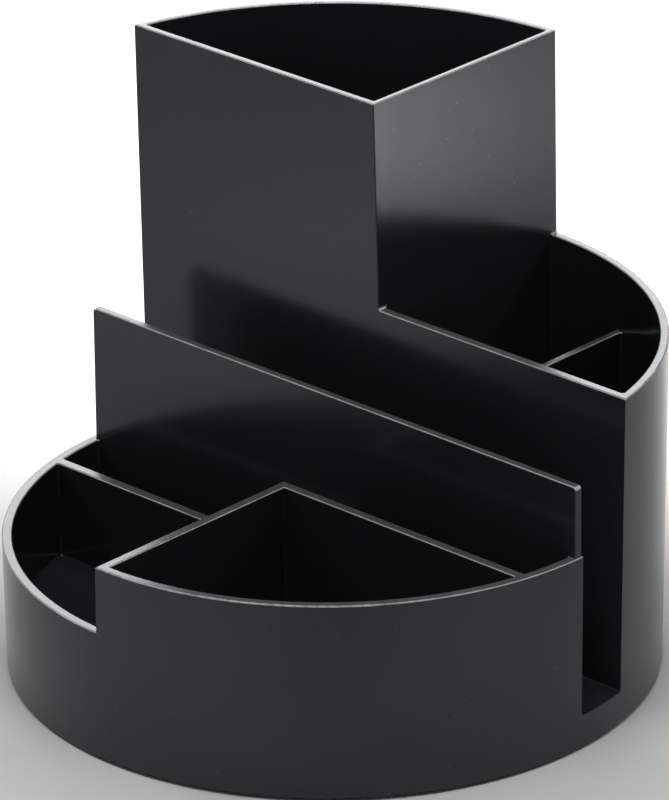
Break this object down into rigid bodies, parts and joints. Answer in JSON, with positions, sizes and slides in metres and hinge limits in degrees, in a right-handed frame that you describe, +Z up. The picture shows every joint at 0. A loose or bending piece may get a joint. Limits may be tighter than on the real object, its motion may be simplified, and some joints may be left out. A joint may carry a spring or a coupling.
{
  "type": "desk organizer",
  "caption": "Round moulded desk organizer with stepped open compartments: tall pen cup, divided rear cup, letter slot right across it, pen channel, low tray and front cup.",
  "frame": {"origin": "centre of the drum's base in the plane of the desk, level with the undersides of the rubber feet", "axes": "+Z up; the letter slot runs along X; -Y is the front with the low tray and the front cup; the tall cup is at -X and +Y"},
  "size_m": [0.1456, 0.1466, 0.1255],
  "materials": {
    "moulded_plastic": "glossy black injection-moulded polystyrene",
    "foot_rubber": "matt black anti-slip rubber"
  },
  "bodies": {
    "root": {"base_ring": "moulded_plastic", "floor_plate": "moulded_plastic", "tall_cup_front_wall": "moulded_plastic", "rear_cup_front_wall": "moulded_plastic", "slot_front_panel": "moulded_plastic", "tall_cup_outer_wall": "moulded_plastic", "rear_cup_outer_wall": "moulded_plastic", "tall_cup_side_wall": "moulded_plastic", "rear_cup_divider": "moulded_plastic", "pen_channel_left_end": "moulded_plastic", "pen_channel_right_end": "moulded_plastic", "left_tray_back_wall": "moulded_plastic", "front_cup_back_wall": "moulded_plastic", "left_tray_outer_wall": "moulded_plastic", "front_cup_outer_wall": "moulded_plastic", "front_cup_side_wall": "moulded_plastic", "foot_socket_1": "moulded_plastic", "foot_socket_2": "moulded_plastic", "foot_socket_3": "moulded_plastic", "foot_socket_4": "moulded_plastic", "rubber_foot_1": "foot_rubber", "rubber_foot_2": "foot_rubber", "rubber_foot_3": "foot_rubber", "rubber_foot_4": "foot_rubber"}
  },
  "joints": []
}
